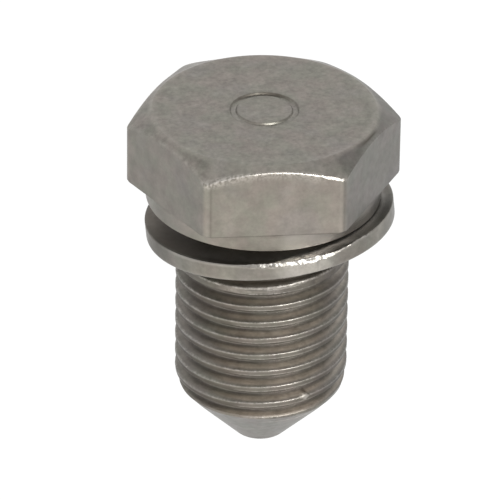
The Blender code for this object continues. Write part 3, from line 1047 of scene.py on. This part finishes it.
def worn_steel(name, warm, olive, bright, dark, flank, dull, shine, roughness, seed):
    """Dull plated steel: mottled colour, fine grain, broken bright edges that are worn and partly painted
    highlights, painted sheen, painted light on the thread's flanks, painted shade with a few dark marks, and
    a darker, cooler painted shade tint on the sides.
    """
    material, nodes, shader = new_material(name)
    own = nodes.attribute("own_place", "Vector")
    place = nodes.add("ShaderNodeVectorMath", {0: own, 1: (seed, 0.0, 0.0)}, operation="ADD").outputs[0]
    edge = nodes.attribute("edge")
    soft = nodes.attribute("soft")
    groove = nodes.attribute("groove")

    patches = nodes.range(nodes.noise(place, 0.45, 3.0, 0.6), 0.38, 0.62)
    colour = nodes.mix(patches, warm, olive)
    violet = nodes.range(nodes.noise(place, 0.3, 2.0, 0.6), 0.5, 0.7, 0.0, 0.5)
    colour = nodes.mix(violet, colour, VIOLET)
    # Painted light: the thread's lit upper flanks get a lighter, warmer colour.
    colour = nodes.mix(nodes.attribute("flank"), colour, flank)
    # Painted shade: a darker, cooler tint on the sides and the cone.
    colour = nodes.mix(nodes.attribute("dull"), colour, nodes.mix(1.0, colour, dull, "MULTIPLY"))
    grain = nodes.range(nodes.noise(place, 4.0, 4.0, 0.65), 0.3, 0.7, 0.92, 1.08)
    cloud = nodes.range(nodes.noise(place, 0.8, 3.0, 0.55), 0.3, 0.7, 0.88, 1.12)
    spots = nodes.range(nodes.noise(place, 2.3, 3.0, 0.7), 0.3, 0.7, -0.16, 0.16)
    spots = nodes.math("MULTIPLY", spots, nodes.attribute("mottle"))
    shade = nodes.math("ADD", nodes.math("MULTIPLY", grain, cloud), spots)
    grey = nodes.add("ShaderNodeCombineColor", {0: shade, 1: shade, 2: shade}).outputs[0]
    colour = nodes.mix(1.0, colour, grey, "MULTIPLY")
    # Painted shade: roots, recesses, undersides and faces away from the light are mixed towards the dark
    # colour, together with the scrape and the thin dark line round the cone.
    colour = nodes.mix(nodes.math("MULTIPLY", groove, 0.95), colour, dark)
    # Worn edges, partly painted highlights that are strongest where the light falls, are mixed towards the
    # bright colour.
    broken = nodes.range(nodes.noise(place, 5.0, 2.0, 0.5), 0.38, 0.6)
    wear_and_glint = nodes.math("MULTIPLY", nodes.math("MULTIPLY", edge, broken, clamp=True), shine)
    # Painted sheen: places where light falls are mixed towards the bright colour.
    colour = nodes.mix(nodes.math("MULTIPLY", soft, 0.3), colour, bright)
    colour = nodes.mix(wear_and_glint, colour, bright)
    nodes.feed(shader.inputs["Base Color"], colour)

    rough = nodes.range(nodes.noise(place, 2.0, 4.0, 0.6), 0.3, 0.7, roughness - 0.05, roughness + 0.06)
    rough = nodes.math("SUBTRACT", rough, nodes.math("MULTIPLY", wear_and_glint, 0.1))
    rough = nodes.math("ADD", rough, nodes.math("MULTIPLY", groove, 0.12), clamp=True)
    nodes.feed(shader.inputs["Roughness"], rough)

    waves = nodes.math("MULTIPLY", nodes.noise(place, 0.9, 2.0), 1.6)
    height = nodes.math("ADD", nodes.noise(place, 6.0, 3.0, 0.6), waves)
    fine = nodes.add("ShaderNodeBump", {"Strength": 0.35, "Distance": 0.012 * MM, "Height": height})
    dents = nodes.math("MULTIPLY", edge, nodes.noise(place, 4.5, 2.0, 0.5))
    inputs = {"Strength": 0.6, "Distance": 0.035 * MM, "Height": dents, "Normal": fine.outputs["Normal"]}
    nodes.feed(shader.inputs["Normal"], nodes.add("ShaderNodeBump", inputs).outputs["Normal"])
    shader.inputs["Metallic"].default_value = 1.0
    return material


def pale_floor():
    material, _, shader = new_material("pale_floor")
    shader.inputs["Base Color"].default_value = FLOOR_COLOUR
    shader.inputs["Roughness"].default_value = 0.9
    shader.inputs["Specular IOR Level"].default_value = 0.1
    shader.inputs["Emission Color"].default_value = (1.0, 1.0, 1.0, 1.0)
    shader.inputs["Emission Strength"].default_value = FLOOR_GLOW
    mesh = bpy.data.meshes.new("floor")
    corners = [(x * FLOOR_HALF, y * FLOOR_HALF, 0) for x, y in ((-1, -1), (1, -1), (1, 1), (-1, 1))]
    mesh.from_pydata(corners, [], [(0, 1, 2, 3)])
    mesh.materials.append(material)
    floor = bpy.data.objects.new("floor", mesh)
    bpy.context.collection.objects.link(floor)


# Light and camera, in the upright frame of the photograph

def upright_direction(azimuth_deg, elevation_deg):
    """Azimuth 0 is towards the camera's side and grows to the picture's right."""
    azimuth = math.radians(azimuth_deg)
    elevation = math.radians(elevation_deg)
    flat = math.cos(elevation)
    return Vector((math.sin(azimuth) * flat, -math.cos(azimuth) * flat, math.sin(elevation)))


def lamp(upright, name, azimuth_deg, elevation_deg, size, power, colour):
    light = bpy.data.lights.new(name, "AREA")
    light.shape = "RECTANGLE"
    light.size, light.size_y = size
    light.energy = power
    light.color = colour
    obj = bpy.data.objects.new(name, light)
    bpy.context.collection.objects.link(obj)
    direction = upright.to_3x3() @ upright_direction(azimuth_deg, elevation_deg)
    obj.location = upright @ Vector((0.0, 0.0, LAMP_TARGET_HEIGHT)) + direction * LAMP_DISTANCE
    obj.rotation_euler = direction.to_track_quat("Z", "Y").to_euler()
    obj.visible_camera = False


def studio(upright):
    """Even pale surroundings, dimmer towards two sides."""
    world = bpy.data.worlds.new("studio")
    world.use_nodes = True
    nodes = Nodes(world.node_tree)
    back = world.node_tree.nodes["Background"]
    back.inputs["Color"].default_value = WORLD_COLOUR
    towards = nodes.add("ShaderNodeTexCoord").outputs["Generated"]
    strength = WORLD_STRENGTH
    for azimuth_deg, elevation_deg, start, full, left in DIM_SIDES:
        side = upright.to_3x3() @ upright_direction(azimuth_deg, elevation_deg)
        close = nodes.add("ShaderNodeVectorMath", {0: towards, 1: side}, operation="DOT_PRODUCT")
        share = nodes.range(close.outputs["Value"], start, full, 1.0, left, "SMOOTHSTEP")
        strength = nodes.math("MULTIPLY", strength, share)
    nodes.feed(back.inputs["Strength"], strength)
    bpy.context.scene.world = world


def light_the_scene(upright):
    studio(upright)
    for settings in LAMPS:
        lamp(upright, *settings)
    bpy.context.scene.view_settings.view_transform = "Standard"


def place_camera(upright):
    elevation = math.radians(VIEW_ELEVATION_DEG)
    roll = math.radians(VIEW_ROLL_DEG)
    back = Vector((0.0, -math.cos(elevation), math.sin(elevation)))
    right = Vector((1.0, 0.0, 0.0))
    up = right.cross(-back)
    turned_right = math.cos(roll) * right + math.sin(roll) * up
    turned_up = -math.sin(roll) * right + math.cos(roll) * up
    turn = Matrix((turned_right, turned_up, back)).transposed().to_4x4()
    data = bpy.data.cameras.new("camera")
    data.sensor_width = SENSOR_WIDTH
    data.lens = SENSOR_WIDTH * FOCAL_PIXELS / PICTURE_PIXELS
    data.clip_start = 0.01
    data.clip_end = 20.0
    camera = bpy.data.objects.new("camera", data)
    camera.matrix_world = upright @ Matrix.Translation(Vector(VIEW_TARGET) + VIEW_DISTANCE * back) @ turn
    bpy.context.collection.objects.link(camera)
    bpy.context.scene.camera = camera


def main():
    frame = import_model()
    record = frame["record"]
    lying = plug_place(record)
    upright = lying @ Matrix.Rotation(math.radians(-HEAD_TURN_DEG), 4, "Z")

    plug = make_plug(lying)
    plug.data.materials.append(worn_steel("plug_finish", **PLUG_FINISH))
    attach(plug, "plug")
    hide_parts("plug_body")

    washer = make_washer(washer_place(record, lying))
    washer.data.materials.append(worn_steel("washer_finish", **WASHER_FINISH))
    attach(washer, "washer")
    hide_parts("captive_washer")

    pale_floor()
    light_the_scene(upright)
    place_camera(upright)


main()
